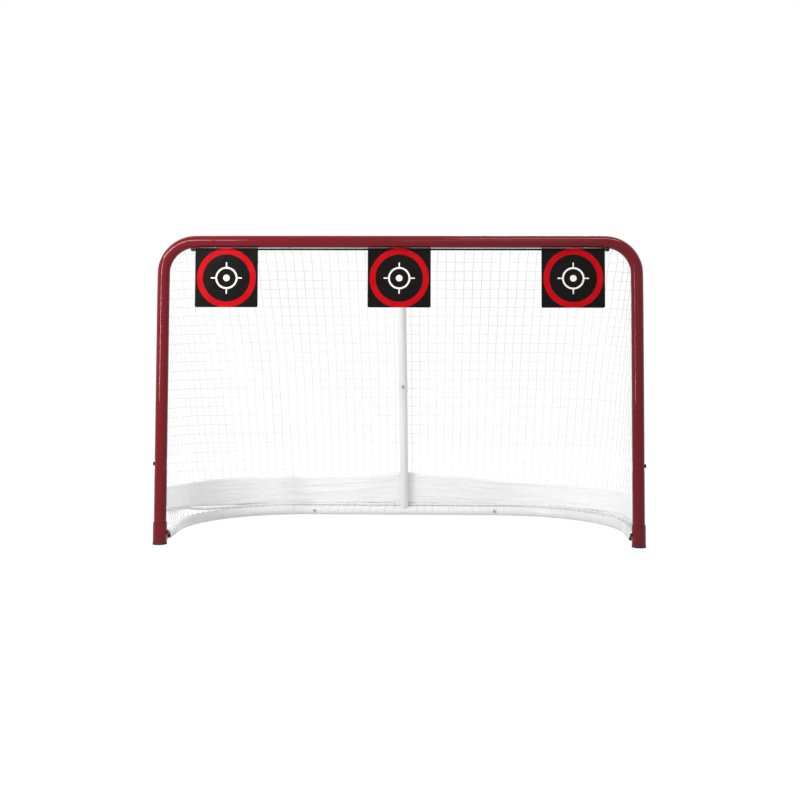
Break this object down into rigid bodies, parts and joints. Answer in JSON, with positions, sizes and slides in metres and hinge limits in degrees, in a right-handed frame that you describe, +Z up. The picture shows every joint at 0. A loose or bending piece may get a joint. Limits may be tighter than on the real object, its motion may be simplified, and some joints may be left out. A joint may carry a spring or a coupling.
{
  "type": "hockey goal net",
  "caption": "Ice hockey goal with a bolted red tube frame, white base, hanging shooting targets, net and fabric skirt.",
  "frame": {"origin": "middle of the goal's floor plan, on the floor", "axes": "+X to the right seen from the front, -Y out of the goal's mouth, +Z up"},
  "size_m": [1.9636, 0.8724, 1.22],
  "materials": {
    "red_paint": "gloss red paint on steel tube",
    "white_paint": "gloss white paint on steel tube",
    "black_paint": "black painted steel rod",
    "black_bolts": "black oxide steel",
    "bare_steel": "zinc plated",
    "dark_rubber": "matte",
    "black_plastic": "matte",
    "black_vinyl": "glossy coated cloth with a printed ring",
    "white_cord": "knotted twine",
    "white_cloth": "coated cloth"
  },
  "bodies": {
    "frame": {"crossbar": "red_paint", "upper_post_left": "red_paint", "upper_post_right": "red_paint", "lower_post_left": "red_paint", "lower_post_right": "red_paint", "foot_socket_left": "red_paint", "foot_socket_right": "red_paint", "foot_cap_left": "dark_rubber", "foot_cap_right": "dark_rubber", "crossbar_bolts": "black_bolts", "post_bolts": "black_bolts", "foot_bolts": "black_bolts", "base_bolts": "black_bolts", "centre_post_bolt": "black_bolts", "crossbar_weld_nuts": "bare_steel", "post_weld_nuts": "bare_steel", "foot_weld_nuts": "bare_steel", "base_weld_nuts": "bare_steel", "centre_post_nut": "bare_steel", "saddle_screws": "bare_steel", "base_side_left": "white_paint", "base_side_right": "white_paint", "base_rear": "white_paint", "base_saddle": "white_paint", "crossbar_saddle": "white_paint", "centre_post_lower": "white_paint", "centre_post_upper": "white_paint", "target_rod": "black_paint", "rod_clip_left": "black_plastic", "rod_clip_right": "black_plastic", "net_rear": "white_cord", "net_left": "white_cord", "net_right": "white_cord", "skirt": "white_cloth"},
    "left_target": {"target_left": "black_vinyl"},
    "middle_target": {"target_middle": "black_vinyl"},
    "right_target": {"target_right": "black_vinyl"}
  },
  "joints": [
    {"name": "left_target_swing", "type": "hinge", "parent": "frame", "child": "left_target", "pos_m": [-0.687, -0.40868, 1.1659], "axis": [1, 0, 0], "range_deg": [-100, 60]},
    {"name": "middle_target_swing", "type": "hinge", "parent": "frame", "child": "middle_target", "pos_m": [0, -0.40868, 1.1659], "axis": [1, 0, 0], "range_deg": [-100, 60]},
    {"name": "right_target_swing", "type": "hinge", "parent": "frame", "child": "right_target", "pos_m": [0.687, -0.40868, 1.1659], "axis": [1, 0, 0], "range_deg": [-100, 60]}
  ]
}
